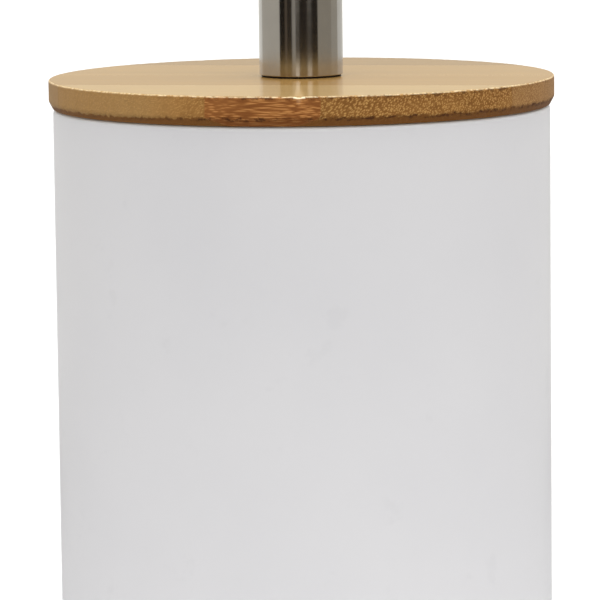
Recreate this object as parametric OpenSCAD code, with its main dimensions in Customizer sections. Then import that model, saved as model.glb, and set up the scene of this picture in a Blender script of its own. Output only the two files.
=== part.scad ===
// Free-standing toilet brush holder: a white steel cup with a lift-out liner,
// a turned bamboo lid and a brush on a polished steel tube handle.
// Millimetres, +Z up, origin on the floor at the centre of the cup.

/* [Steel cup] */
// Outer diameter of the cup
cup_d = 95; // [80:1:120]
// Height of the cup's rim above the floor
cup_h = 120; // [100:1:150]
// Thickness of the coated steel sheet
sheet_t = 0.8; // [0.5:0.1:1.2]
// Radial width of the bead rolled inside the rim
bead_w = 2.4; // [2:0.1:3.4]
// Height of the rolled bead
bead_h = 3.2; // [2.4:0.1:5]
// Rounding of the bead's edges
bead_round = 0.9; // [0.3:0.1:0.9]
// Width of the lip folded in under the base plate
lip_w = 3.5; // [2.5:0.1:6]
// Height of the base plate's upturned edge
pan_edge_h = 6; // [3:0.5:12]

/* [Foot ring] */
// Thickness of the soft ring that the cup stands on
foot_t = 2; // [1.5:0.1:4]
// Radial width of the ring
foot_w = 8; // [5:0.5:15]
// Gap between the ring and the folded lip
foot_margin = 1.5; // [0.5:0.1:4]

/* [Liner] */
// Wall of the plastic liner
liner_wall = 1.4; // [1:0.1:2.5]
// Thickness of the liner's floor
liner_floor = 1.6; // [1.2:0.1:3]
// How much the liner narrows on each side from its rim to its floor
liner_draft = 1.4; // [0:0.1:3]
// Radius of the corner between the liner's wall and floor, outside
liner_corner = 5; // [3:0.5:10]
// Radial width of the flange round the liner's mouth, from the outer wall
flange_w = 1.3; // [0.6:0.1:2]
// Thickness of that flange
flange_t = 1.8; // [1:0.1:3]
// Radial gap between the flange and the cup's bead
liner_clear = 0.6; // [0.3:0.1:1.5]
// Gap between the liner's mouth and the lid's locating disc
liner_top_gap = 0.6; // [0.2:0.1:3]

/* [Lid] */
// How far the lid stands out past the cup, on each side
lid_overhang = 0.8; // [0:0.1:4]
// Thickness of the bamboo board
lid_t = 5.5; // [4:0.1:10]
// Radial width of the chamfer round the lid's lower edge
lid_chamfer = 0.8; // [0.3:0.1:2]
// Height of that chamfer
chamfer_h = 1.5; // [0.5:0.1:3]
// Rounding of the lid's upper edge
lid_round = 0.4; // [0.2:0.1:1]
// Gap between the rim and the board that rests on it
lid_gap = 0.1; // [0.05:0.05:0.5]
// Width of a full bamboo strip
strip_w = 24.5; // [20:0.5:28]
// Distance from the lid's axis to the joint just behind it
joint_offset = 1.9; // [0:0.1:8]
// Least depth of the narrow front strip
front_strip_w = 1.2; // [0.8:0.1:8]
// Turn of the strips away from the X axis, in degrees
grain_turn = -8.6; // [-45:0.1:45]
// Thickness of the locating disc under the board
disc_t = 3; // [2:0.1:6]
// Radial gap between the locating disc and the cup's bead
disc_clear = 0.6; // [0.3:0.1:1.5]
// Radial gap between the rod and the bore through the lid
bore_clear = 0.1; // [0.05:0.01:0.4]

/* [Handle] */
// Outer diameter of the handle tube
handle_d = 16; // [13:0.5:25]
// Wall of the handle tube
handle_wall = 0.8; // [0.6:0.1:1.5]
// Height of the whole object above the floor
total_h = 375; // [300:1:450]
// Rounding of the tube's lower edge
tube_round = 0.3; // [0.1:0.1:0.5]
// Height of the cap's rim band
cap_band = 1.2; // [0.8:0.1:4]
// Rise of the cap's dome above its band
cap_rise = 1.8; // [1:0.1:5]
// Depth of the cap's skirt inside the tube
cap_skirt = 9; // [5:0.5:20]
// Wall of the cap's skirt
cap_wall = 1.2; // [0.8:0.1:2]
// Length of the threaded plug in the tube's lower end
plug_l = 20; // [14:1:40]
// Solid end of the plug, above its blind bore
plug_web = 4; // [2:0.5:10]
// Thickness of the rubber washer under the tube
gasket_t = 0.3; // [0.2:0.1:2]
// How far the rubber washer is set in from the tube's outer face
gasket_inset = 0.4; // [0.2:0.1:1.5]

/* [Rod and fasteners] */
// Diameter of the rod
rod_d = 8; // [6:0.5:10]
// Thickness of the washer under the lid
washer_t = 1.4; // [1:0.1:3]
// Outer diameter of the washer
washer_d = 17; // [15:0.5:24]
// Play between the washer and the lid, which lets the brush turn
lid_play = 0.3; // [0.1:0.05:1]
// Height of the hexagon nut
nut_h = 5; // [3:0.5:8]
// Width of the nut across its flats
nut_af = 13; // [12:0.5:16]

/* [Brush head] */
// Diameter of the plastic core
core_d = 24; // [18:1:32]
// Diameter of the core's neck
neck_d = 15; // [12:0.5:18]
// Height of the neck above the tufts
neck_h = 9; // [5:0.5:14]
// Depth of the socket for the rod
socket_l = 28; // [15:1:40]
// Length of bare rod between the nut and the core's neck
rod_bare = 12; // [4:0.5:20]
// Length of the tufts on the rounded end
tip_len = 22; // [14:1:30]
// Rounding of the head's lower edge
head_round = 24; // [10:1:30]
// Bevel round the head's upper edge
head_bevel = 3; // [0:0.5:6]
// Gap between the tufts and the liner's wall, at the liner's floor
head_clear = 3.4; // [1:0.1:10]
// Gap between the tufts and the liner's floor
head_floor_gap = 5; // [2:0.5:12]

/* [Hidden] */
$fn = 96;

// Slack between a pressed, screwed or glued piece and the piece round it
fit_gap = 0.03;
// Slack between two pieces that only stand on each other
seat_gap = 0.05;
// Overlap of a cutting tool past the face that it leaves
cut = 1;

// Cup and base
cup_r = cup_d / 2;
bead_r = cup_r - bead_w;
cup_floor_z = foot_t - sheet_t;
plate_r = cup_r - sheet_t - fit_gap;
plate_z = foot_t;
plate_top_z = plate_z + sheet_t;
lip_r = cup_r - lip_w;

// Liner
liner_z = plate_top_z + seat_gap;
disc_z = cup_h + lid_gap - disc_t;
liner_top_z = disc_z - liner_top_gap;
flange_r = bead_r - liner_clear;
liner_r = flange_r - flange_w;
liner_foot_r = liner_r - liner_draft;
liner_floor_z = liner_z + liner_floor;

// Lid
lid_r = cup_r + lid_overhang;
lid_z = cup_h + lid_gap;
lid_top_z = lid_z + lid_t;
disc_r = bead_r - disc_clear;
bore_r = rod_d / 2 + bore_clear;
first_joint_y = max(-lid_r + front_strip_w, joint_offset - 2 * strip_w);

// Handle
handle_r = handle_d / 2;
tube_in_r = handle_r - handle_wall;
tube_z = lid_top_z + seat_gap + gasket_t;
tube_top_z = total_h - cap_rise - cap_band;
cap_skirt_r = tube_in_r - fit_gap;
plug_r = tube_in_r - fit_gap;
plug_bore_l = plug_l - plug_web;

// Brush head and rod
rod_r = rod_d / 2;
socket_r = rod_r + fit_gap;
core_r = core_d / 2;
neck_r = neck_d / 2;
head_r = liner_foot_r - liner_wall - head_clear;
head_z = liner_floor_z + head_floor_gap;
washer_z = disc_z - lid_play - washer_t;
nut_z = washer_z - nut_h;
core_top_z = nut_z - rod_bare;
head_top_z = core_top_z - neck_h;
core_end_z = head_z + tip_len + core_r;
head_edge_r = min(head_round, core_end_z - head_z, head_r);
tuft_r = core_r + fit_gap;
rod_z = core_top_z - socket_l;
rod_top_z = tube_z + plug_bore_l;

STRIPS = [1, 2, 3, 4, 5];

// Ring or disc between two radii and two heights
module ring(r_in, r_out, z_low, z_high) {
    translate([0, 0, z_low])
        difference() {
            cylinder(r = r_out, h = z_high - z_low);
            if (r_in > 0)
                translate([0, 0, -cut])
                    cylinder(r = r_in, h = z_high - z_low + 2 * cut);
        }
}

// Half-section rectangle from one corner to the other
module patch(r_in, z_low, r_out, z_high) {
    translate([r_in, z_low])
        square([r_out - r_in, z_high - z_low]);
}

// Half-section disc, kept on the positive side of the axis
module half_disc(r_mid, z_mid, radius) {
    intersection() {
        translate([r_mid, z_mid])
            circle(r = radius);
        patch(0, z_mid - radius, r_mid + radius, z_mid + radius);
    }
}

// Steel tube with its rim rolled inwards and its lower edge folded in
module cup_sleeve() {
    color("white")
        rotate_extrude() {
            patch(cup_r - sheet_t, cup_floor_z + sheet_t, cup_r, cup_h - bead_round);
            patch(lip_r, cup_floor_z, cup_r - sheet_t, cup_floor_z + sheet_t);
            translate([cup_r - sheet_t, cup_floor_z + sheet_t])
                intersection() {
                    circle(r = sheet_t);
                    translate([0, -sheet_t])
                        square(sheet_t);
                }
            patch(bead_r, cup_h - bead_h, cup_r - sheet_t, cup_h - bead_round);
            patch(bead_r + bead_round, cup_h - bead_round, cup_r - bead_round, cup_h);
            half_disc(bead_r + bead_round, cup_h - bead_round, bead_round);
            half_disc(cup_r - bead_round, cup_h - bead_round, bead_round);
        }
}

// Shallow steel pan that closes the bottom of the sleeve
module base_plate() {
    color("gainsboro")
        rotate_extrude() {
            patch(0, plate_z, plate_r - sheet_t, plate_top_z);
            patch(plate_r - sheet_t, plate_top_z, plate_r, plate_z + pan_edge_h);
            translate([plate_r - sheet_t, plate_top_z])
                intersection() {
                    circle(r = sheet_t);
                    translate([0, -sheet_t])
                        square(sheet_t);
                }
        }
}

// Soft anti-slip ring glued under the base plate
module foot_ring() {
    foot_r = lip_r - foot_margin;
    color("dimgray")
        ring(foot_r - foot_w, foot_r, 0, plate_z);
}

// Points of an arc about a centre, from one angle to another
function arc(r_mid, z_mid, radius, from, to, steps) = [
    for (i = [0 : steps])
        let (a = from + (to - from) * i / steps)
            [r_mid + radius * cos(a), z_mid + radius * sin(a)]
];

// Drip cup that stands inside the sleeve
module liner_cup() {
    inner_corner = liner_corner - liner_wall;
    inner_foot_r = liner_foot_r - liner_wall;
    inner_r = liner_r - liner_wall;
    outside = concat(
        [[0, liner_z]],
        arc(liner_foot_r - liner_corner, liner_z + liner_corner, liner_corner, -90, 0, 8),
        [
            [liner_r, liner_top_z - flange_t],
            [flange_r, liner_top_z - flange_t],
            [flange_r, liner_top_z]
        ]
    );
    inside = concat(
        [[inner_r, liner_top_z]],
        arc(inner_foot_r - inner_corner, liner_floor_z + inner_corner, inner_corner, 0, -90, 8),
        [[0, liner_floor_z]]
    );
    color("whitesmoke")
        rotate_extrude()
            polygon(concat(outside, inside));
}

// The lid's turned outline, before the board's joints are cut
module lid_round_board() {
    translate([0, 0, lid_z])
        rotate_extrude($fn = 360)
            polygon(concat(
                [[0, 0], [lid_r - lid_chamfer, 0], [lid_r, chamfer_h]],
                arc(lid_r - lid_round, lid_t - lid_round, lid_round, 0, 90, 3),
                [[0, lid_t]]
            ));
}

// Place of the joint behind a strip; strip 1 is the narrow one at the front
function joint_y(number) =
    number == 1 ? first_joint_y : joint_offset + (number - 3) * strip_w;

// One strip of the glued board
module lid_strip(number) {
    low = number == 1 ? -lid_r - cut : joint_y(number - 1);
    high = number == len(STRIPS) ? lid_r + cut : joint_y(number);
    shade = number == 1 ? "peru" : number % 2 == 0 ? "burlywood" : "tan";
    color(shade)
        difference() {
            intersection() {
                lid_round_board();
                rotate([0, 0, grain_turn])
                    translate([-lid_r - cut, low, lid_z - cut])
                        cube([2 * (lid_r + cut), high - low, lid_t + 2 * cut]);
            }
            translate([0, 0, lid_z - cut])
                cylinder(r = bore_r, h = lid_t + 2 * cut);
        }
}

// Thin disc under the board that centres the lid in the cup's mouth
module locating_disc() {
    color("tan")
        ring(bore_r, disc_r, disc_z, lid_z);
}

// Polished steel tube
module handle_tube() {
    color("silver")
        rotate_extrude() {
            patch(tube_in_r, tube_z, handle_r - tube_round, tube_z + tube_round);
            patch(tube_in_r, tube_z + tube_round, handle_r, tube_top_z);
            half_disc(handle_r - tube_round, tube_z + tube_round, tube_round);
        }
}

// Domed cap pressed into the top of the tube
module handle_cap() {
    dome_r = (pow(handle_r, 2) + pow(cap_rise, 2)) / (2 * cap_rise);
    band_z = tube_top_z + cap_band;
    color("lightgray")
        rotate_extrude() {
            patch(0, tube_top_z, handle_r, band_z);
            intersection() {
                translate([0, total_h - dome_r])
                    circle(r = dome_r, $fn = 360);
                patch(0, band_z, handle_r, total_h);
            }
            patch(cap_skirt_r - cap_wall, tube_top_z - cap_skirt, cap_skirt_r, tube_top_z);
        }
}

// Threaded plug fixed in the tube's lower end; the rod ends in its blind bore
module handle_plug() {
    color("gray")
        translate([0, 0, tube_z])
            difference() {
                cylinder(r = plug_r, h = plug_l);
                translate([0, 0, -cut])
                    cylinder(r = socket_r, h = plug_bore_l + cut);
            }
}

// Black rubber washer between the tube and the lid
module handle_gasket() {
    color("black")
        ring(socket_r, handle_r - gasket_inset, tube_z - gasket_t, tube_z);
}

// Rod that joins the brush head to the handle through the lid
module stem_rod() {
    color("silver")
        ring(0, rod_r, rod_z, rod_top_z);
}

// Washer that carries the lid when the brush is lifted
module stop_washer() {
    color("silver")
        ring(socket_r, washer_d / 2, washer_z, washer_z + washer_t);
}

// Hexagon nut that holds the washer on the rod
module stop_nut() {
    color("silver")
        translate([0, 0, nut_z])
            difference() {
                cylinder(r = nut_af / 2 / cos(30), h = nut_h, $fn = 6);
                translate([0, 0, -cut])
                    cylinder(r = socket_r, h = nut_h + 2 * cut);
            }
}

// Plastic core that the tufts are set in, with a socket for the rod
module brush_core() {
    color("white")
        difference() {
            rotate_extrude() {
                half_disc(0, core_end_z, core_r);
                patch(0, core_end_z, core_r, head_top_z);
                polygon([
                    [0, head_top_z], [core_r, head_top_z],
                    [neck_r, head_top_z + core_r - neck_r], [0, head_top_z + core_r - neck_r]
                ]);
                patch(0, head_top_z, neck_r, core_top_z);
            }
            translate([0, 0, rod_z])
                cylinder(r = socket_r, h = socket_l + cut);
        }
}

// Outline of the rows of tufts round the core
module side_bristles() {
    color("ivory")
        rotate_extrude()
            polygon([
                [tuft_r, core_end_z], [head_r, core_end_z],
                [head_r, head_top_z - head_bevel], [head_r - head_bevel, head_top_z],
                [tuft_r, head_top_z]
            ]);
}

// Outline of the tufts on the rounded end
module end_bristles() {
    color("ivory")
        rotate_extrude()
            difference() {
                union() {
                    patch(0, head_z, head_r - head_edge_r, core_end_z);
                    patch(head_r - head_edge_r, head_z + head_edge_r, head_r, core_end_z);
                    intersection() {
                        translate([head_r - head_edge_r, head_z + head_edge_r])
                            circle(r = head_edge_r);
                        patch(head_r - head_edge_r, head_z, head_r, head_z + head_edge_r);
                    }
                }
                translate([0, core_end_z])
                    circle(r = tuft_r);
            }
}

cup_sleeve();
base_plate();
foot_ring();
liner_cup();
for (number = STRIPS)
    lid_strip(number);
locating_disc();
handle_tube();
handle_cap();
handle_plug();
handle_gasket();
stem_rod();
stop_washer();
stop_nut();
brush_core();
side_bristles();
end_bristles();
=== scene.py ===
"""Looks of a free-standing toilet brush holder: white steel cup, bamboo lid, steel tube handle.

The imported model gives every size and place. Each sub-part is turned, cut or swept here as a
detailed mesh in metres, rides on its CAD body, and has its own procedural material.
"""

import math
import random

import bmesh
import bpy
from mathutils import Matrix, Vector, noise


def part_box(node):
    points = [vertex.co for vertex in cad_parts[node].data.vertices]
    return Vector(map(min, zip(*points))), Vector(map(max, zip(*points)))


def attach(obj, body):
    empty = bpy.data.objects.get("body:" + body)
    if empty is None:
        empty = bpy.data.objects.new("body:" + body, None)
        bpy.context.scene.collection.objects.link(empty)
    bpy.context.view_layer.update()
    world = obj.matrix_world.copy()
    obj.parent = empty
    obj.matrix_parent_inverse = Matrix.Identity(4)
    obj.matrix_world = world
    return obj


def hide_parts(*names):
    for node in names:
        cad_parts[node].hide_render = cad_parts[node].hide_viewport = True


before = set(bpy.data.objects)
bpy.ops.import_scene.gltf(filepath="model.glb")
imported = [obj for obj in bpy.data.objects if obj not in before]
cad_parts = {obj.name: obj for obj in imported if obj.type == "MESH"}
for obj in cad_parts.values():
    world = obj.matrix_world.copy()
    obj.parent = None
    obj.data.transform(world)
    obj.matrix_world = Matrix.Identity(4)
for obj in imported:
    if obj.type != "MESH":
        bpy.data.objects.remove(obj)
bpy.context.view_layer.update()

# ---------------------------------------------------------------- sizes, in metres
MM = 0.001
SHEET_T = 0.8 * MM
BEAD_W = 2.4 * MM
BEAD_H = 3.2 * MM
BEAD_ROUND = 0.9 * MM
LIP_W = 3.5 * MM
FOOT_W = 8 * MM
LID_CHAMFER = 0.8 * MM
CHAMFER_H = 1.5 * MM
STRIP_W = 24.5 * MM
FRONT_STRIP_W = 1.2 * MM
GRAIN_TURN = math.radians(-8.6)
# slope of the fibre dashes on the lid's edge, and the width of rim that wear reaches
DASH_TILT = math.radians(35)
WEAR_W = 1.3 * MM
TUBE_WALL = 0.8 * MM
CAP_RISE = 1.8 * MM
NECK_R = 7.5 * MM
CORE_SOCKET = 28 * MM
HEAD_ROUND = 24 * MM
HEAD_BEVEL = 3 * MM
LINER_WALL = 1.4 * MM
LINER_FLOOR = 1.6 * MM
LINER_DRAFT = 1.4 * MM
LINER_CORNER = 5 * MM
FLANGE_W = 1.3 * MM
FLANGE_T = 1.8 * MM
BORE_R = 4.1 * MM
ROD_FIT_R = 4.03 * MM
THREAD_PITCH = 1.25 * MM
THREAD_DEPTH = 0.55 * MM
# cards that the gloss sees: radius and height of the ring they stand in
CARD_R = 0.35
CARD_TOP = 0.42


def span(node):
    """Outer radius, lowest and highest height of a round CAD node."""
    low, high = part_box(node)
    return max(high.x, high.y), low.z, high.z


CUP_R, CUP_LOW, CUP_TOP = span("cup_sleeve")
PLATE_R, PLATE_LOW, PLATE_TOP = span("base_plate")
FOOT_R, FOOT_LOW, FOOT_TOP = span("foot_ring")
LINER_R, LINER_LOW, LINER_TOP = span("liner_cup")
LID_R, LID_LOW, LID_TOP = span("lid_strip_4")
DISC_R, DISC_LOW, DISC_TOP = span("locating_disc")
TUBE_R, TUBE_LOW, TUBE_TOP = span("handle_tube")
CAP_R, CAP_LOW, CAP_TOP = span("handle_cap")
GASKET_R, GASKET_LOW, GASKET_TOP = span("handle_gasket")
ROD_R, ROD_LOW, ROD_TOP = span("stem_rod")
WASHER_R, WASHER_LOW, WASHER_TOP = span("stop_washer")
_, NUT_LOW, NUT_TOP = span("stop_nut")
CORE_R, _, CORE_TOP = span("brush_core")
HEAD_R, CORE_END, HEAD_TOP = span("side_bristles")
HEAD_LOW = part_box("end_bristles")[0].z

# joints of the lid's strips, measured across the grain, from the front
JOINTS = [-LID_R + FRONT_STRIP_W + STRIP_W * i for i in range(4)]
# small chip out of the front strip's upper arris: its place along X and its width
CHIP_X = -0.4 * MM
CHIP_W = 1.9 * MM
# an upward or downward slope above which a strip's face counts as its top or underside
FACE_NORMAL = 0.9


# ---------------------------------------------------------------- outlines
def rounded(corners, steps=6, hold=0.04 * MM):
    """Closed outline from (r, z, corner radius) corners, each arc held by a point either side."""
    points = []
    for i, (r, z, radius) in enumerate(corners):
        here = Vector((r, z))
        if radius <= 0:
            points.append(here)
            continue
        back = Vector(corners[i - 1][:2]) - here
        ahead = Vector(corners[(i + 1) % len(corners)][:2]) - here
        back.normalize()
        ahead.normalize()
        half = back.angle(ahead) / 2
        tangent = radius / math.tan(half)
        centre = here + (back + ahead).normalized() * radius / math.sin(half)
        start = here + back * tangent - centre
        turn = start.angle_signed(here + ahead * tangent - centre)
        points.append(centre + start + back * hold)
        for step in range(steps + 1):
            points.append(centre + Matrix.Rotation(-turn * step / steps, 2) @ start)
        points.append(here + ahead * (tangent + hold))
    return [(p.x, p.y) for p in points]


def circle_arc(r_mid, z_mid, radius, start, end, steps):
    """Points of an arc in the half-section, angles in degrees."""
    angles = [math.radians(start + (end - start) * i / steps) for i in range(steps + 1)]
    return [(r_mid + radius * math.cos(a), z_mid + radius * math.sin(a)) for a in angles]


# ---------------------------------------------------------------- mesh helpers
def finish_mesh(name, bm, smooth=35):
    """Object of a finished bmesh, smooth but for the edges sharper than the angle given."""
    bmesh.ops.remove_doubles(bm, verts=bm.verts, dist=1e-8)
    bmesh.ops.recalc_face_normals(bm, faces=bm.faces)
    mesh = bpy.data.meshes.new(name)
    bm.to_mesh(mesh)
    bm.free()
    mesh.polygons.foreach_set("use_smooth", [True] * len(mesh.polygons))
    mesh.set_sharp_from_angle(angle=math.radians(smooth))
    piece = bpy.data.objects.new(name, mesh)
    bpy.context.scene.collection.objects.link(piece)
    return piece


def turned_mesh(outline, segments=192, shape=None):
    """Bmesh of a closed (r, z) outline turned about Z. shape(r, z, angle) may move a point."""
    bm = bmesh.new()
    rings = []
    for r, z in outline:
        if r < 1e-7:
            rings.append([bm.verts.new((0, 0, z))])
            continue
        ring = []
        for k in range(segments):
            angle = 2 * math.pi * k / segments
            pr, pz = shape(r, z, angle) if shape else (r, z)
            ring.append(bm.verts.new((pr * math.cos(angle), pr * math.sin(angle), pz)))
        rings.append(ring)
    for i, ring in enumerate(rings):
        other = rings[(i + 1) % len(rings)]
        if len(ring) == 1 and len(other) == 1:
            continue
        for k in range(segments):
            n = (k + 1) % segments
            if len(ring) == 1:
                bm.faces.new((ring[0], other[k], other[n]))
            elif len(other) == 1:
                bm.faces.new((ring[k], other[0], ring[n]))
            else:
                bm.faces.new((ring[k], other[k], other[n], ring[n]))
    return bm


def turned(name, outline, segments=192, shape=None, smooth=35):
    """Turned piece; see turned_mesh."""
    return finish_mesh(name, turned_mesh(outline, segments, shape), smooth)


def cut_away(bm, point, normal):
    """Cuts a closed bmesh at a plane, drops what is on the normal's side and closes the cut."""
    geometry = list(bm.verts) + list(bm.edges) + list(bm.faces)
    bmesh.ops.bisect_plane(
        bm, geom=geometry, dist=1e-8, plane_co=point, plane_no=normal, clear_outer=True)
    rim = [e for e in bm.edges if e.is_boundary]
    return bmesh.ops.holes_fill(bm, edges=rim, sides=0)["faces"]


def dress(piece, body, slot, material, *replaced):
    """Puts a piece on its body, with its material, in place of CAD nodes; slot is not used."""
    piece.data.materials.clear()
    piece.data.materials.append(material)
    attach(piece, body)
    if replaced:
        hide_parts(*replaced)
    return piece


# ---------------------------------------------------------------- material helpers
class Finish:
    """A Principled material and short calls that add nodes to it."""

    def __init__(self, name, **settings):
        self.material = bpy.data.materials.new(name)
        self.material.use_nodes = True
        self.tree = self.material.node_tree
        self.shader = self.tree.nodes["Principled BSDF"]
        for key, value in settings.items():
            self.shader.inputs[key.replace("_", " ")].default_value = value

    def node(self, kind, values=None, **properties):
        """Adds a node; values sets or links its inputs by name or number."""
        made = self.tree.nodes.new("ShaderNode" + kind)
        for key, value in properties.items():
            setattr(made, key, value)
        for key, value in (values or {}).items():
            self.feed(made.inputs[key], value)
        return made

    def feed(self, socket, value):
        """Links an output to a socket, or sets the socket's value."""
        if isinstance(value, bpy.types.NodeSocket):
            self.tree.links.new(value, socket)
        else:
            socket.default_value = value

    def set(self, name, value):
        """Links a value to the shader's own socket."""
        self.feed(self.shader.inputs[name], value)

    def place(self, scale=(1, 1, 1), turn=0.0, shift=(0, 0, 0), tilt=0.0):
        """The object's own coordinates in millimetres, turned about Y and Z and then scaled."""
        where = self.node("TexCoord").outputs["Object"]
        turned_by = self.node("Mapping", {"Vector": where, "Rotation": (0, tilt, -turn)})
        sized = tuple(s / MM for s in scale)
        return self.node(
            "Mapping", {"Vector": turned_by.outputs[0], "Scale": sized, "Location": shift}
        ).outputs[0]

    def noise(self, where, scale=1.0, detail=2.0, roughness=0.5, distortion=0.0):
        """Noise from 0 to 1."""
        return self.node("TexNoise", {
            "Vector": where, "Scale": scale, "Detail": detail,
            "Roughness": roughness, "Distortion": distortion}).outputs[0]

    def range(self, value, low, high, to_low=0.0, to_high=1.0, smooth=False):
        """Maps low..high of a value to to_low..to_high, clamped."""
        kind = "SMOOTHSTEP" if smooth else "LINEAR"
        return self.node("MapRange", {
            "Value": value, "From Min": low, "From Max": high,
            "To Min": to_low, "To Max": to_high}, interpolation_type=kind).outputs[0]

    def math(self, operation, a, b=0.0):
        """One arithmetic step."""
        return self.node("Math", {0: a, 1: b}, operation=operation).outputs[0]

    def axis(self, where, name):
        """One coordinate of a vector."""
        return self.node("SeparateXYZ", {0: where}).outputs[name]

    def blend(self, share, a, b, mode="MIX"):
        """Mixes two colours."""
        mixed = self.node("Mix", data_type="RGBA", blend_type=mode)
        self.feed(mixed.inputs[0], share)
        self.feed(mixed.inputs[6], a if isinstance(a, bpy.types.NodeSocket) else (*a, 1))
        self.feed(mixed.inputs[7], b if isinstance(b, bpy.types.NodeSocket) else (*b, 1))
        return mixed.outputs[2]

    def bump(self, height, distance, strength=1.0, under=None):
        """Bump of a real height in metres; under is an earlier bump to add to."""
        values = {"Height": height, "Distance": distance, "Strength": strength}
        if under is not None:
            values["Normal"] = under
        return self.node("Bump", values).outputs[0]


# ---------------------------------------------------------------- materials
def powder_coat():
    """Satin white powder coat on steel: fine orange peel and faint handling marks."""
    f = Finish("powder_coat", Roughness=0.42, Specular_IOR_Level=0.35)
    where = f.place()
    cloud = f.noise(where, 0.03, 3)
    smudge = f.range(f.noise(where, 0.11, 4, 0.6), 0.62, 0.72, smooth=True)
    tone = f.blend(f.range(cloud, 0.35, 0.65), (0.80, 0.797, 0.815), (0.82, 0.816, 0.831))
    tone = f.blend(f.math("MULTIPLY", smudge, 0.05), tone, (0.40, 0.40, 0.42))
    f.set("Base Color", tone)
    f.set("Roughness", f.range(f.noise(where, 0.9, 3), 0.3, 0.7, 0.38, 0.46))
    peel = f.bump(f.noise(where, 1.6, 2), 0.012 * MM, 0.6)
    f.set("Normal", peel)
    return f.material


def bamboo_face(name, seed, tone):
    """Bamboo cut along the grain and varnished: long pale and dark fibre streaks, and a thin
    dark line of glue along each joint."""
    f = Finish(name, Specular_IOR_Level=0.1, Coat_Weight=0.6, Coat_Roughness=0.13)
    plain = f.place(turn=GRAIN_TURN)
    along = f.place((0.05, 1, 1), GRAIN_TURN, (seed * 3.0, seed * 7.0, seed * 2.0))
    fibres = f.noise(along, 2.6, 4, 0.65)
    fine = f.noise(along, 7.0, 2)
    band = f.noise(f.place((0.006, 0.22, 0.3), GRAIN_TURN, (seed, seed * 1.7, 0)), 1.0, 2)
    light = tuple(c * 1.10 for c in tone)
    dark = tuple(c * k for c, k in zip(tone, (0.84, 0.80, 0.74)))
    top = f.blend(f.range(fibres, 0.3, 0.7), dark, light)
    top = f.blend(f.range(fine, 0.55, 0.75, 0.0, 0.35), top, dark)
    top = f.blend(f.range(band, 0.35, 0.65, 0.0, 0.45), top, dark)
    across = f.axis(plain, "Y")
    for joint in JOINTS:
        gap = f.math("ABSOLUTE", f.math("SUBTRACT", across, joint / MM))
        top = f.blend(f.range(gap, 0.05, 0.35, 0.55, 0.0, smooth=True), top, dark)
    f.set("Base Color", top)
    f.set("Roughness", f.range(fibres, 0.3, 0.7, 0.45, 0.55))
    f.set("Normal", f.bump(fibres, 0.012 * MM, 0.5))
    return f.material


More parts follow.
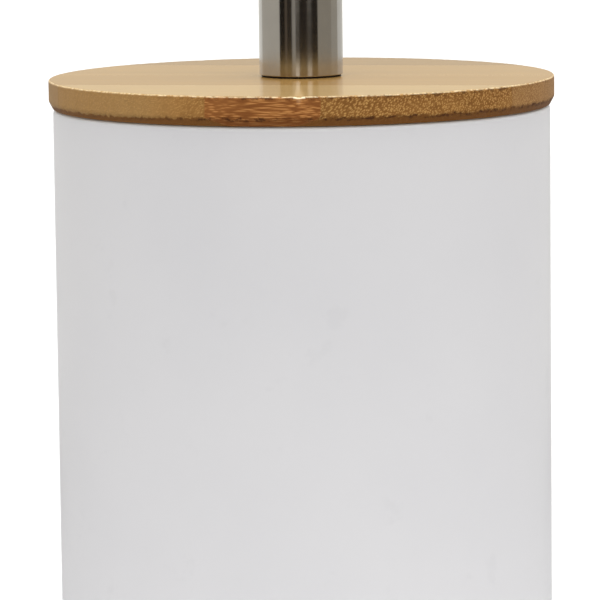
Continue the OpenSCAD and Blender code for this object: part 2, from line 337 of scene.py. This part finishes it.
def bamboo_edge(name, seed, tone, stretch, tilt, speckle, left_speckle, chamfer_shade, chip=False):
    """Turned edge of the board. Fibre bundles are rods along the strip, which the edge cuts
    into dots where it crosses them and into dashes where it runs beside them; stretch is how
    long they are drawn out, and tilt how steeply. The speckle grows from left_speckle to
    speckle along X. Painted shade darkens the downward chamfer by chamfer_shade, and a
    painted highlight pales the upper arris; chip adds a painted glint at the dent where the
    front strip's arris has broken out."""
    f = Finish(name, Specular_IOR_Level=0.15)
    plain = f.place(turn=GRAIN_TURN)
    up = f.axis(f.node("NewGeometry").outputs["Normal"], "Z")
    level = f.math("SUBTRACT", f.axis(plain, "Z"), LID_LOW / MM)
    pale = tuple(min(c * k, 0.9) for c, k in zip(tone, (1.6, 1.95, 2.3)))
    deep = tuple(c * k for c, k in zip(tone, (0.50, 0.40, 0.28)))
    greyer = tuple(c * k for c, k in zip(tone, (1.0, 1.18, 1.55)))

    shift = (seed * 3.0, seed * 7.0, seed * 2.0)
    along = f.place((stretch, 1, 1), GRAIN_TURN, shift, tilt)
    drift = f.node("TexNoise", {"Vector": along, "Scale": 0.6, "Detail": 2.0}).outputs[1]
    bent = f.node("VectorMath", {
        0: along, 1: f.node("VectorMath", {0: drift, "Scale": 0.5}, operation="SCALE").outputs[0],
    }, operation="ADD").outputs[0]
    bundles = f.node("TexVoronoi", {"Vector": bent, "Scale": 3.3, "Randomness": 0.95}).outputs[0]
    dots = f.range(bundles, 0.12, 0.48, 1.0, 0.0, smooth=True)
    fibres = f.noise(bent, 2.4, 4, 0.65)
    patchy = f.noise(f.place((0.12, 0.12, 0.3), GRAIN_TURN, (seed, 0, 0)), 1.0, 2)
    x_along = f.axis(plain, "X")
    strength = f.range(x_along, -22.0, 0.0, left_speckle, speckle, smooth=True)
    strength = f.math("MULTIPLY", strength, f.range(patchy, 0.25, 0.6, 0.6, 1.0))
    side = f.blend(f.range(x_along, -26.0, -12.0, 1.0, 0.0, smooth=True), tone, greyer)
    side = f.blend(f.range(fibres, 0.35, 0.72, 0.0, 0.35), side, pale)
    side = f.blend(f.math("MULTIPLY", strength, f.range(bundles, 0.30, 0.62, 0.0, 0.85)), side, deep)
    side = f.blend(f.math("MULTIPLY", strength, f.math("MULTIPLY", dots, 0.62)), side, pale)

    # painted shade on the downward chamfer, with an uneven upper border, and torn fibres along it whose
    # near-black is painted shade
    ragged = f.noise(f.place((0.8, 0.8, 0)), 1.0, 3, 0.6)
    border = f.math("ADD", level, f.range(ragged, 0.25, 0.75, -0.35, 0.35))
    border = f.math("ADD", border, f.range(x_along, -30.0, -14.0, 0.45, 0.0, smooth=True))
    torn = f.range(f.noise(f.place((0.9, 0.9, 1.5)), 0.8, 4, 0.7), 0.48, 0.58)
    scar = f.math("MULTIPLY", f.range(border, 0.7, 1.1, smooth=True),
                  f.range(border, 1.4, 1.9, 1.0, 0.0, smooth=True))
    scar = f.math("MULTIPLY", scar, f.range(strength, 0.1, 0.6, 0.35, 1.0))
    scar = f.math("MAXIMUM", scar, f.math("MULTIPLY", strength, f.range(level, 4.6, 5.0, 0.0, 0.9)))
    # painted shade of the downward chamfer, up to its ragged border
    side = f.blend(f.range(border, 1.25, 1.6, chamfer_shade, 0.0, smooth=True), side, deep)
    # the tears are real, and their near-black colour is painted shade inside them, along the chamfer's
    # border and just below the arris
    shaded_tears = f.math("MULTIPLY", f.math("MULTIPLY", scar, torn), 0.85)
    side = f.blend(shaded_tears, side, (0.07, 0.020, 0.004))

    # painted highlight along the upward-facing upper arris, broken up by noise
    arris = f.range(up, 0.15, 0.55)
    arris_breakup = f.noise(f.place((1, 1, 0)), 1.3, 3, 0.6)
    arris_highlight = f.math("MULTIPLY", arris, f.range(arris_breakup, 0.38, 0.60, 0.1, 0.8))
    side = f.blend(arris_highlight, side, (0.84, 0.69, 0.42))
    if chip:
        # painted glint: the chip's dent in the mesh is real, and its pale colour stands in for the light
        # it catches
        where = f.place()
        beside = f.math("ABSOLUTE", f.math("SUBTRACT", f.axis(where, "X"), CHIP_X / MM))
        half = CHIP_W / MM / 2
        inside = f.range(beside, half, half + 0.25, 1.0, 0.0)
        chip_glint = f.math("MULTIPLY", inside, f.range(level, 5.0, 5.2))
        side = f.blend(chip_glint, side, (0.90, 0.76, 0.52))
    f.set("Base Color", side)
    f.set("Roughness", f.range(fibres, 0.3, 0.7, 0.55, 0.68))
    grain = f.bump(fibres, 0.02 * MM, 0.6)
    f.set("Normal", f.bump(dots, 0.05 * MM, 0.6, grain))
    return f.material


def bamboo_ply():
    """Sanded, unvarnished bamboo of the locating disc."""
    f = Finish("bamboo_ply", Roughness=0.62, Specular_IOR_Level=0.35)
    along = f.place((1, 0.04, 1), GRAIN_TURN)
    streak = f.noise(along, 1.3, 5, 0.6, 0.2)
    tone = f.blend(f.range(streak, 0.3, 0.7), (0.42, 0.27, 0.12), (0.60, 0.43, 0.22))
    f.set("Base Color", tone)
    f.set("Normal", f.bump(streak, 0.05 * MM, 0.6))
    return f.material


def steel(name, tone, rough, spread, turn=0.25, grain=0.6):
    """Steel with fine rings of polishing marks round the Z axis."""
    f = Finish(name, Metallic=1.0, Base_Color=(*tone, 1), Anisotropic=spread, Anisotropic_Rotation=turn)
    f.set("Tangent", f.node("Tangent", direction_type="RADIAL", axis="Z").outputs[0])
    rings = f.noise(f.place((0.05, 0.05, 6)), 1.0, 3, 0.6)
    cloud = f.noise(f.place(), 0.25, 3)
    f.set("Base Color", f.blend(f.range(cloud, 0.3, 0.7), tone, tuple(c * 0.94 for c in tone)))
    f.set("Roughness", f.range(rings, 0.3, 0.7, rough * 0.9, rough * 1.1))
    f.set("Normal", f.bump(rings, 0.001 * MM, grain))
    return f.material


def zinc_steel():
    """Zinc-plated fasteners: pale, slightly cloudy grey."""
    f = Finish("zinc_steel", Metallic=1.0, Base_Color=(0.56, 0.57, 0.58, 1))
    cloud = f.noise(f.place(), 0.8, 4, 0.6)
    f.set("Base Color", f.blend(f.range(cloud, 0.35, 0.65), (0.50, 0.51, 0.52), (0.62, 0.62, 0.62)))
    f.set("Roughness", f.range(cloud, 0.3, 0.7, 0.24, 0.38))
    f.set("Normal", f.bump(f.noise(f.place(), 4.0, 2), 0.01 * MM, 0.4))
    return f.material


def raw_sheet():
    """Bare rolled steel of the base plate."""
    f = Finish("raw_sheet", Metallic=1.0)
    lines = f.noise(f.place((0.04, 2.5, 1)), 1.0, 4, 0.6)
    f.set("Base Color", f.blend(f.range(lines, 0.3, 0.7), (0.48, 0.48, 0.48), (0.60, 0.60, 0.59)))
    f.set("Roughness", f.range(lines, 0.3, 0.7, 0.3, 0.42))
    f.set("Normal", f.bump(lines, 0.01 * MM, 0.5))
    return f.material


def plastic(name, tone, rough, soft=0.0, grain=0.02):
    """Moulded plastic with a fine spark-eroded grain."""
    f = Finish(name, Subsurface_Weight=soft, Subsurface_Scale=2 * MM)
    where = f.place()
    cloud = f.noise(where, 0.05, 3)
    f.set("Base Color", f.blend(f.range(cloud, 0.3, 0.7), tone, tuple(c * 0.95 for c in tone)))
    f.set("Roughness", f.range(f.noise(where, 2.0, 2), 0.3, 0.7, rough * 0.9, rough * 1.1))
    f.set("Normal", f.bump(f.noise(where, 3.0, 2), grain * MM, 0.5))
    return f.material


def rubber(name, tone):
    """Matt rubber or foam with open pores, the pores darkened by painted shade."""
    f = Finish(name, Specular_IOR_Level=0.3)
    where = f.place()
    pores = f.node("TexVoronoi", {"Vector": where, "Scale": 1.6}).outputs[0]
    # painted shade in the hollows of the pores
    f.set("Base Color", f.blend(f.range(pores, 0.0, 0.5), tuple(c * 0.6 for c in tone), tone))
    f.set("Roughness", f.range(f.noise(where, 0.6, 3), 0.3, 0.7, 0.72, 0.85))
    f.set("Normal", f.bump(pores, 0.06 * MM, 0.6))
    return f.material


def bristle():
    """White nylon filaments, darker and a little yellower towards the root."""
    f = Finish("bristle", Subsurface_Weight=0.25, Subsurface_Scale=1 * MM)
    where = f.place((1, 1, 0))
    reach = f.node("VectorMath", {0: where}, operation="LENGTH").outputs["Value"]
    tint = f.range(reach, 12.0, 36.0)
    tone = f.blend(tint, (0.66, 0.65, 0.60), (0.82, 0.82, 0.80))
    flecks = f.noise(f.place(), 0.7, 3)
    f.set("Base Color", f.blend(f.range(flecks, 0.3, 0.7, 0.0, 0.25), tone, (0.60, 0.59, 0.55)))
    f.set("Roughness", f.range(flecks, 0.3, 0.7, 0.38, 0.5))
    return f.material


# ---------------------------------------------------------------- cup and liner
def build_cup():
    """Steel sleeve with a hemmed rim, pan-shaped base plate and foot ring."""
    coat = powder_coat()
    lip_r = CUP_R - LIP_W
    bead_r = CUP_R - BEAD_W
    inner = CUP_R - SHEET_T
    sleeve = turned("steel_sleeve", rounded([
        (lip_r, CUP_LOW, 0.3 * MM),
        (CUP_R, CUP_LOW, 0.9 * MM),
        (CUP_R, CUP_TOP, BEAD_ROUND),
        (bead_r, CUP_TOP, BEAD_ROUND),
        (bead_r, CUP_TOP - BEAD_H, 0.35 * MM),
        (bead_r + SHEET_T, CUP_TOP - BEAD_H, 0.35 * MM),
        (bead_r + SHEET_T, CUP_TOP - SHEET_T, 0.2 * MM),
        (inner, CUP_TOP - SHEET_T, 0.2 * MM),
        (inner, CUP_LOW + SHEET_T, 0.3 * MM),
        (lip_r, CUP_LOW + SHEET_T, 0.3 * MM),
    ]), 256)
    dress(sleeve, "holder", "white_coat", coat, "cup_sleeve")

    pan = turned("pan_plate", rounded([
        (0, PLATE_LOW, 0),
        (PLATE_R, PLATE_LOW, 0.8 * MM),
        (PLATE_R, PLATE_TOP, 0.25 * MM),
        (PLATE_R - SHEET_T, PLATE_TOP, 0.25 * MM),
        (PLATE_R - SHEET_T, PLATE_LOW + SHEET_T, 0.5 * MM),
        (0, PLATE_LOW + SHEET_T, 0),
    ]))
    dress(pan, "holder", "bare_steel", raw_sheet(), "base_plate")

    ring_in = FOOT_R - FOOT_W
    groove_w = 0.8 * MM
    outline = [(ring_in, FOOT_TOP), (ring_in, FOOT_LOW + 0.4 * MM), (ring_in + 0.4 * MM, FOOT_LOW)]
    for i in range(3):
        start = ring_in + (1.6 + 2 * i) * MM
        outline += [
            (start, FOOT_LOW), (start + 0.2 * MM, FOOT_LOW + 0.4 * MM),
            (start + groove_w - 0.2 * MM, FOOT_LOW + 0.4 * MM), (start + groove_w, FOOT_LOW)]
    outline += [(FOOT_R - 0.4 * MM, FOOT_LOW), (FOOT_R, FOOT_LOW + 0.4 * MM), (FOOT_R, FOOT_TOP)]
    foot = turned("rubber_foot", outline)
    dress(foot, "holder", "foot_rubber", rubber("foot_foam", (0.07, 0.07, 0.072)), "foot_ring")


def build_liner():
    """Drip cup with a flanged mouth and a rounded foot."""
    outer = LINER_R - FLANGE_W
    foot_r = outer - LINER_DRAFT
    liner = turned("drip_liner", rounded([
        (0, LINER_LOW, 0),
        (foot_r, LINER_LOW, LINER_CORNER),
        (outer, LINER_TOP - FLANGE_T, 0.4 * MM),
        (LINER_R, LINER_TOP - FLANGE_T, 0.3 * MM),
        (LINER_R, LINER_TOP, 0.5 * MM),
        (outer - LINER_WALL, LINER_TOP, 0.5 * MM),
        (foot_r - LINER_WALL, LINER_LOW + LINER_FLOOR, LINER_CORNER - LINER_WALL),
        (0, LINER_LOW + LINER_FLOOR, 0),
    ]))
    moulded = plastic("liner_plastic", (0.74, 0.75, 0.76), 0.4, 0.15)
    dress(liner, "liner", "liner_plastic", moulded, "liner_cup")


# ---------------------------------------------------------------- lid
def worn_edge(r, z, angle):
    """Moves points of the board's rim by the small tears that turning leaves in the fibres."""
    if r < LID_R - WEAR_W + 0.01 * MM:
        return r, z
    at = Vector((math.cos(angle), math.sin(angle), 0)) * LID_R / MM
    level = (z - LID_LOW) / MM
    tear = noise.noise(at * 0.9 + Vector((0, 0, level * 1.5)))
    fine = noise.noise(at * 2.2 + Vector((5, 3, level * 3.0)))
    near_chamfer = math.exp(-((level - CHAMFER_H / MM) / 0.35) ** 2)
    near_top = math.exp(-((z - LID_TOP) / MM / 0.5) ** 2)
    depth = (0.16 * near_chamfer + 0.07 * near_top) * max(0.0, tear) + 0.012 * fine
    aside = abs(angle - 1.5 * math.pi - CHIP_X / LID_R) * LID_R
    chip = near_top * max(0.0, 1 - (2 * aside / CHIP_W) ** 4)
    depth += 0.22 * chip
    drop = 0.05 * near_top * max(0.0, tear) + 0.16 * chip
    return min(r - depth * MM, LID_R), z - drop * MM


def build_lid():
    """Five glued strips cut from one turned board, and the locating disc under them."""
    grain = Vector((math.cos(GRAIN_TURN), math.sin(GRAIN_TURN), 0))
    across = Vector((-grain.y, grain.x, 0))
    board = rounded([
        (BORE_R, LID_LOW, 0.15 * MM),
        (LID_R - WEAR_W, LID_LOW, 0),
        (LID_R - LID_CHAMFER, LID_LOW, 0.25 * MM),
        (LID_R, LID_LOW + CHAMFER_H, 1.2 * MM),
        (LID_R, LID_TOP, 0.35 * MM),
        (LID_R - WEAR_W, LID_TOP, 0),
        (BORE_R, LID_TOP, 0.15 * MM),
    ], 5)
    # per strip: tone of face and edge, then the edge's stretch, tilt, speckle at the right
    # and at the left, and how dark the painted shade on its chamfer is
    finishes = [
        ((0.390, 0.230, 0.060), (0.42, 0.160, 0.040), 0.08, 0.0, 1.0, 0.8, 0.5),
        ((0.475, 0.310, 0.118), (0.42, 0.200, 0.052), 0.45, DASH_TILT, 1.0, 0.15, 0.9),
        ((0.385, 0.222, 0.062), (0.40, 0.200, 0.063), 0.45, DASH_TILT, 0.6, 0.15, 0.9),
        ((0.392, 0.232, 0.072), (0.40, 0.200, 0.063), 0.45, DASH_TILT, 0.6, 0.3, 0.9),
        ((0.300, 0.172, 0.054), (0.38, 0.190, 0.058), 0.45, DASH_TILT, 0.6, 0.4, 0.9),
    ]
    for number, (face, edge, *pattern) in enumerate(finishes, 1):
        bm = turned_mesh(board, 720, worn_edge)
        cuts = []
        if number > 1:
            cuts += cut_away(bm, across * JOINTS[number - 2], -across)
        if number < len(finishes):
            cuts += cut_away(bm, across * JOINTS[number - 1], across)
        cuts = [cut for cut in cuts if cut.is_valid]
        edges = list({edge for cut in cuts for edge in cut.edges})
        bmesh.ops.bevel(bm, geom=edges, offset=0.05 * MM, segments=1, affect="EDGES")
        strip = finish_mesh(f"bamboo_strip_{number}", bm)
        varnished = bamboo_face(f"bamboo_face_{number}", number, face)
        dress(strip, "lid", "bamboo", varnished, f"lid_strip_{number}")
        strip.data.materials.append(
            bamboo_edge(f"bamboo_edge_{number}", number, edge, *pattern, chip=number == 1))
        for polygon in strip.data.polygons:
            polygon.material_index = 0 if abs(polygon.normal.z) > FACE_NORMAL else 1

    disc = turned("centring_disc", rounded([
        (BORE_R, DISC_LOW, 0.3 * MM),
        (DISC_R, DISC_LOW, 0.8 * MM),
        (DISC_R, DISC_TOP, 0),
        (BORE_R, DISC_TOP, 0),
    ]))
    dress(disc, "lid", "bamboo_ply", bamboo_ply(), "locating_disc")


# ---------------------------------------------------------------- handle
def build_handle():
    """Steel tube with its domed cap, the rubber washer under it and the plug inside."""
    polished = steel("polished_steel", (0.50, 0.485, 0.462), 0.13, 0.6, grain=0.1)
    tube = turned("steel_tube", rounded([
        (TUBE_R - TUBE_WALL, TUBE_LOW, 0.1 * MM),
        (TUBE_R, TUBE_LOW, 0.18 * MM),
        (TUBE_R, TUBE_TOP, 0.08 * MM),
        (TUBE_R - TUBE_WALL, TUBE_TOP, 0.08 * MM),
    ]), 192)
    dress(tube, "brush", "polished_steel", polished, "handle_tube")

    dome_r = (CAP_R ** 2 + CAP_RISE ** 2) / (2 * CAP_RISE)
    lean = math.degrees(math.asin((CAP_R - 0.25 * MM) / dome_r))
    skirt_r = TUBE_R - TUBE_WALL - 0.03 * MM
    seam = TUBE_TOP + 0.12 * MM
    outline = circle_arc(0, CAP_TOP - dome_r, dome_r, 90, 90 - lean, 16)
    band_top = CAP_TOP - CAP_RISE
    outline += circle_arc(CAP_R - 0.25 * MM, band_top - 0.2 * MM, 0.25 * MM, 70, 0, 5)
    outline += [
        (CAP_R, seam), (CAP_R - 0.15 * MM, TUBE_TOP), (skirt_r, TUBE_TOP),
        (skirt_r, CAP_LOW + 0.4 * MM), (skirt_r - 0.4 * MM, CAP_LOW), (skirt_r - 1.2 * MM, CAP_LOW),
        (skirt_r - 1.2 * MM, TUBE_TOP), (0, TUBE_TOP)]
    outline[0] = (0, CAP_TOP)
    cap = turned("domed_cap", outline, 192)
    dress(cap, "brush", "polished_steel", polished, "handle_cap")

    gasket = turned("rubber_washer", rounded([
        (ROD_FIT_R, GASKET_LOW, 0.08 * MM),
        (GASKET_R, GASKET_LOW, 0.1 * MM),
        (GASKET_R, GASKET_TOP, 0.1 * MM),
        (ROD_FIT_R, GASKET_TOP, 0.08 * MM),
    ], 3), 128)
    rubbery = rubber("black_rubber", (0.030, 0.018, 0.014))
    dress(gasket, "brush", "black_rubber", rubbery, "handle_gasket")

    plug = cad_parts["handle_plug"]
    plug.data.materials.clear()
    plug.data.materials.append(steel("plug_steel", (0.50, 0.50, 0.50), 0.3, 0.5))


def threaded(name, radius, low, high, segments=40):
    """Threaded rod: a saw of root, flank, crest and flank rows that climb the rod as a helix."""
    depths = [THREAD_DEPTH, THREAD_DEPTH * 0.45, 0.0, 0.0, THREAD_DEPTH * 0.45]
    per_turn = len(depths)
    turns = math.ceil((high - low) / THREAD_PITCH) + 3
    bm = bmesh.new()
    rows = []
    for i in range(turns * per_turn):
        row = []
        for k in range(segments):
            angle = 2 * math.pi * k / segments
            r = radius - depths[i % per_turn]
            z = low + THREAD_PITCH * (i / per_turn + k / segments - 1.5)
            row.append(bm.verts.new((r * math.cos(angle), r * math.sin(angle), z)))
        rows.append(row)
    for i in range(len(rows) - per_turn - 1):
        for k in range(segments):
            last = k == segments - 1
            upper, lower = (rows[i + 1 + per_turn], rows[i + per_turn]) if last else (rows[i + 1], rows[i])
            n = (k + 1) % segments
            bm.faces.new((rows[i][k], lower[n], upper[n], rows[i + 1][k]))
    loose = [v for v in bm.verts if not v.link_faces]
    bmesh.ops.delete(bm, geom=loose, context="VERTS")
    cut_away(bm, (0, 0, low), (0, 0, -1))
    cut_away(bm, (0, 0, high), (0, 0, 1))
    return finish_mesh(name, bm, 25)


def build_fasteners():
    """Threaded rod, washer and chamfered hexagon nut."""
    bright = zinc_steel()
    rod = threaded("threaded_rod", ROD_R, ROD_LOW, ROD_TOP)
    dress(rod, "brush", "bare_steel", bright, "stem_rod")

    washer = turned("flat_washer", rounded([
        (ROD_FIT_R, WASHER_LOW, 0.12 * MM),
        (WASHER_R, WASHER_LOW, 0.3 * MM),
        (WASHER_R, WASHER_TOP, 0.12 * MM),
        (ROD_FIT_R, WASHER_TOP, 0.12 * MM),
    ], 4))
    dress(washer, "brush", "bare_steel", bright, "stop_washer")

    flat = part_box("stop_nut")[1].y
    corner = flat / math.cos(math.radians(30))
    face_r = flat * 0.95
    slope = math.tan(math.radians(30))
    height = NUT_TOP - NUT_LOW
    rise = (corner - face_r) * slope
    levels = [rise * i / 8 for i in range(9)]
    outside = [(face_r + h / slope, NUT_LOW + h) for h in levels]
    outside += [(face_r + h / slope, NUT_LOW + height - h) for h in reversed(levels)]
    sink = 0.6 * MM
    inside = [
        (ROD_FIT_R + sink, NUT_TOP), (ROD_FIT_R, NUT_TOP - sink),
        (ROD_FIT_R, NUT_LOW + sink), (ROD_FIT_R + sink, NUT_LOW)]

    def hexagon(r, z, angle):
        turn = (angle + math.pi / 6) % (math.pi / 3) - math.pi / 6
        return min(r, flat / math.cos(turn)), z

    nut = turned("hex_nut", outside + inside, 144, hexagon, 20)
    dress(nut, "brush", "bare_steel", bright, "stop_nut")


# ---------------------------------------------------------------- brush head
def inside_head(r, z):
    """True where the brush head's outline holds the point."""
    if r > HEAD_R or not HEAD_LOW < z < HEAD_TOP or r + z > HEAD_R + HEAD_TOP - HEAD_BEVEL:
        return False
    corner_r, corner_z = HEAD_R - HEAD_ROUND, HEAD_LOW + HEAD_ROUND
    if r > corner_r and z < corner_z:
        return math.hypot(r - corner_r, z - corner_z) < HEAD_ROUND
    return True


def reach(start, heading):
    """Distance along a heading to the head's outline."""
    low, high = 0.0, 2 * HEAD_R
    for _ in range(24):
        middle = (low + high) / 2
        at = start + heading * middle
        if inside_head(math.hypot(at.x, at.y), at.z):
            low = middle
        else:
            high = middle
    return low


def add_filament(bm, root, heading, length, bend, radius=0.19 * MM):
    """One closed three-sided filament in three rings, bent sideways towards its tip."""
    side = heading.orthogonal().normalized()
    other = heading.cross(side)
    rings = []
    for step, share in ((0.0, 0.0), (0.5, 0.3), (1.0, 1.0)):
        centre = root + heading * length * step + bend * share
        rings.append([
            bm.verts.new(centre + (side * math.cos(a) + other * math.sin(a)) * radius)
            for a in (0, 2 * math.pi / 3, 4 * math.pi / 3)])
    for low, high in zip(rings, rings[1:]):
        for k in range(3):
            n = (k + 1) % 3
            bm.faces.new((low[k], low[n], high[n], high[k]))
    bm.faces.new(rings[0])
    bm.faces.new(rings[-1])


def add_tuft(bm, rng, root, heading, filaments, splay):
    """A tuft of filaments that stand in one hole and fan out to the head's outline."""
    side = heading.orthogonal().normalized()
    other = heading.cross(side)
    for i in range(filaments):
        turn = 2.4 * i + rng.uniform(-0.4, 0.4)
        share = math.sqrt((i + 0.5) / filaments)
        out = side * math.cos(turn) + other * math.sin(turn)
        start = root + out * share * 1.1 * MM
        lean = (heading + out * share * splay).normalized()
        length = reach(start, lean) - rng.uniform(0.2, 1.1) * MM
        bend = out * rng.uniform(-0.4, 0.4) * MM
        add_filament(bm, start, lean, length - 0.4 * MM, bend)


def build_brush():
    """Plastic core with rows of tufts round it and over its rounded end."""
    shoulder = HEAD_TOP + CORE_R - NECK_R
    socket_end = CORE_TOP - CORE_SOCKET
    end = circle_arc(0, CORE_END, CORE_R, -90, 0, 20)
    end[0] = (0, CORE_END - CORE_R)
    outline = end + rounded([
        (CORE_R, HEAD_TOP, 1.2 * MM),
        (NECK_R, shoulder, 1.5 * MM),
        (NECK_R, CORE_TOP, 0.8 * MM),
        (ROD_FIT_R, CORE_TOP, 0.3 * MM),
        (ROD_FIT_R, socket_end, 0),
        (0, socket_end, 0),
        (0, socket_end - 1, 0),
    ])[:-1]  # the last corner lies far below, only aims the first one's rounding and is dropped
    core = turned("brush_hub", outline, 128)
    moulded = plastic("head_plastic", (0.80, 0.80, 0.79), 0.35, 0.1)
    dress(core, "brush", "head_plastic", moulded, "brush_core")

    nylon = bristle()
    rng = random.Random(11)
    rows, per_row = 11, 16
    bm = bmesh.new()
    for row in range(rows):
        z = CORE_END + (HEAD_TOP - CORE_END) * (row + 0.5) / rows
        for k in range(per_row):
            angle = 2 * math.pi * (k + 0.5 * (row % 2)) / per_row
            heading = Vector((math.cos(angle), math.sin(angle), 0))
            root = heading * (CORE_R + 0.1 * MM) + Vector((0, 0, z))
            add_tuft(bm, rng, root, heading, 24, 0.24)
    tufts = finish_mesh("side_tufts", bm)
    dress(tufts, "brush", "bristle", nylon, "side_bristles")

    bm = bmesh.new()
    count = 46
    golden = math.pi * (3 - math.sqrt(5))
    for i in range(count):
        fall = (i + 0.5) / count
        ring = math.sqrt(1 - fall ** 2)
        heading = Vector((ring * math.cos(golden * i), ring * math.sin(golden * i), -fall))
        root = heading * (CORE_R + 0.1 * MM) + Vector((0, 0, CORE_END))
        add_tuft(bm, rng, root, heading, 24, 0.24)
    tufts = finish_mesh("end_tufts", bm)
    dress(tufts, "brush", "bristle", nylon, "end_bristles")


# ---------------------------------------------------------------- stage, lights and camera
def emitter(name, colour, strength):
    """Plain glowing material for the stage."""
    material = bpy.data.materials.new(name)
    material.use_nodes = True
    tree = material.node_tree
    tree.nodes.remove(tree.nodes["Principled BSDF"])
    glow = tree.nodes.new("ShaderNodeEmission")
    glow.inputs["Color"].default_value = (*colour, 1)
    glow.inputs["Strength"].default_value = strength
    tree.links.new(glow.outputs[0], tree.nodes["Material Output"].inputs["Surface"])
    return material


def build_floor():
    """Wide white floor for the camera, and a dimmer disc at the same place that the object
    is lit by and mirrors, so that its undersides stay dark."""
    for name, radius, tone, glow, seen in (
            ("studio_floor", 14.0, 0.62, 0.15, True), ("bounce_floor", 0.25, 0.40, 0.0, False)):
        bm = bmesh.new()
        bmesh.ops.create_circle(bm, cap_ends=True, radius=radius, segments=96)
        floor = finish_mesh(name, bm)
        paint = Finish(name, Base_Color=(tone, tone, tone, 1), Roughness=0.9, Specular_IOR_Level=0.0)
        paint.shader.inputs["Emission Color"].default_value = (1, 1, 1, 1)
        paint.shader.inputs["Emission Strength"].default_value = glow
        floor.data.materials.append(paint.material)
        floor.location.z = -0.0002 if seen else -0.0006
        floor.visible_camera = seen
        floor.visible_shadow = False
        floor.visible_diffuse = not seen
        floor.visible_glossy = not seen
        floor.visible_transmission = False


def reflection_card(name, start, end, low, radius, colour, strength):
    """Curved card that only the object's gloss sees. Angles in degrees from the camera's side."""
    steps = max(2, round(abs(end - start) / 3))
    bm = bmesh.new()
    pairs = []
    for i in range(steps + 1):
        angle = math.radians(start + (end - start) * i / steps - 90)
        x, y = radius * math.cos(angle), radius * math.sin(angle)
        pairs.append((bm.verts.new((x, y, low)), bm.verts.new((x, y, CARD_TOP))))
    for (a, b), (c, d) in zip(pairs, pairs[1:]):
        bm.faces.new((a, c, d, b))
    card = finish_mesh(name, bm)
    card.data.materials.append(emitter(name, colour, strength))
    card.visible_camera = False
    card.visible_diffuse = False
    card.visible_shadow = False
    card.visible_transmission = False


def build_cards():
    """Dark room behind the camera, with a window strip, and grey walls either side."""
    warm_grey = (1.0, 0.94, 0.84)
    dark = (1.0, 0.78, 0.58)
    cards = [
        ("far_left_wall", -166, -132, (1.0, 0.99, 0.94), 0.90),
        ("left_wall", -132, -59, (1.0, 0.95, 0.85), 0.60),
        ("dark_left", -60, -44, dark, 0.0144),
        ("left_slit", -44, -37, dark, 0.108),
        ("dark_mid_left", -37, -24, dark, 0.0336),
        ("window", -24, -14, warm_grey, 0.348),
        ("dark_front", -14, 14, dark, 0.0228),
        ("right_slit", 14, 23, dark, 0.035),
        ("dark_right", 23, 47, dark, 0.0216),
        ("right_wall", 47, 92, (1.0, 0.91, 0.76), 0.372),
        ("right_corner", 92, 120, (1.0, 0.93, 0.80), 0.456),
        ("back_wall", 166, 194, (1.0, 0.92, 0.74), 0.74),
        ("far_right_wall", 120, 166, (1.0, 0.98, 0.92), 0.768),
    ]
    for name, start, end, colour, strength in cards:
        reflection_card(name, start, end, 0.0, CARD_R, colour, strength)
    # two upper panes, a little nearer than the other cards and clear of the floor
    for name, start, end, strength in (("pane_left", -14, -4, 1.5), ("pane_right", 18, 30, 1.0)):
        reflection_card(name, start, end, 0.14, CARD_R - 0.005, warm_grey, strength)


def world_range(tree, value, low, high, to_low, to_high):
    """Clamped map of a value for the world's strength."""
    made = tree.nodes.new("ShaderNodeMapRange")
    tree.links.new(value, made.inputs["Value"])
    for key, number in (("From Min", low), ("From Max", high), ("To Min", to_low), ("To Max", to_high)):
        made.inputs[key].default_value = number
    return made.outputs[0]


def build_lights():
    """Broad soft light overhead, a little to the front right, and a world that is brightest
    at the horizon and dark below it."""
    sun = bpy.data.lights.new("overhead", "SUN")
    sun.energy = 3.4
    sun.angle = math.radians(62)
    lamp = bpy.data.objects.new("overhead", sun)
    aim = Vector((-0.06, 0.11, -1))
    lamp.rotation_euler = aim.to_track_quat("-Z", "Y").to_euler()
    bpy.context.scene.collection.objects.link(lamp)

    world = bpy.data.worlds.new("studio")
    world.use_nodes = True
    tree = world.node_tree
    back = tree.nodes["Background"]
    where = tree.nodes.new("ShaderNodeTexCoord")
    split = tree.nodes.new("ShaderNodeSeparateXYZ")
    tree.links.new(where.outputs["Generated"], split.inputs[0])
    height = split.outputs["Z"]
    both = tree.nodes.new("ShaderNodeMath")
    both.operation = "MULTIPLY"
    tree.links.new(world_range(tree, height, 0.0, 0.8, 1.08, 0.50), both.inputs[0])
    tree.links.new(world_range(tree, height, -0.08, -0.05, 0.2, 1.0), both.inputs[1])
    tree.links.new(both.outputs[0], back.inputs["Strength"])
    back.inputs["Color"].default_value = (1.0, 0.99, 0.98, 1)
    bpy.context.scene.world = world


def build_camera():
    """Long lens a little above the lid, looking down on it."""
    data = bpy.data.cameras.new("camera")
    data.sensor_width = 36.0
    data.lens = 251.4
    camera = bpy.data.objects.new("camera", data)
    camera.location = (0, -0.8, 0.1874)
    yaw = Matrix.Rotation(math.radians(0.052), 3, "Z")
    pitch = Matrix.Rotation(math.radians(90 - 7.48), 3, "X")
    roll = Matrix.Rotation(math.radians(-0.65), 3, "Z")
    camera.rotation_euler = (yaw @ pitch @ roll).to_euler()
    bpy.context.scene.collection.objects.link(camera)
    bpy.context.scene.camera = camera


build_camera()
build_cup()
build_liner()
build_lid()
build_handle()
build_fasteners()
build_brush()
build_floor()
build_cards()
build_lights()
bpy.context.scene.view_settings.view_transform = "Standard"
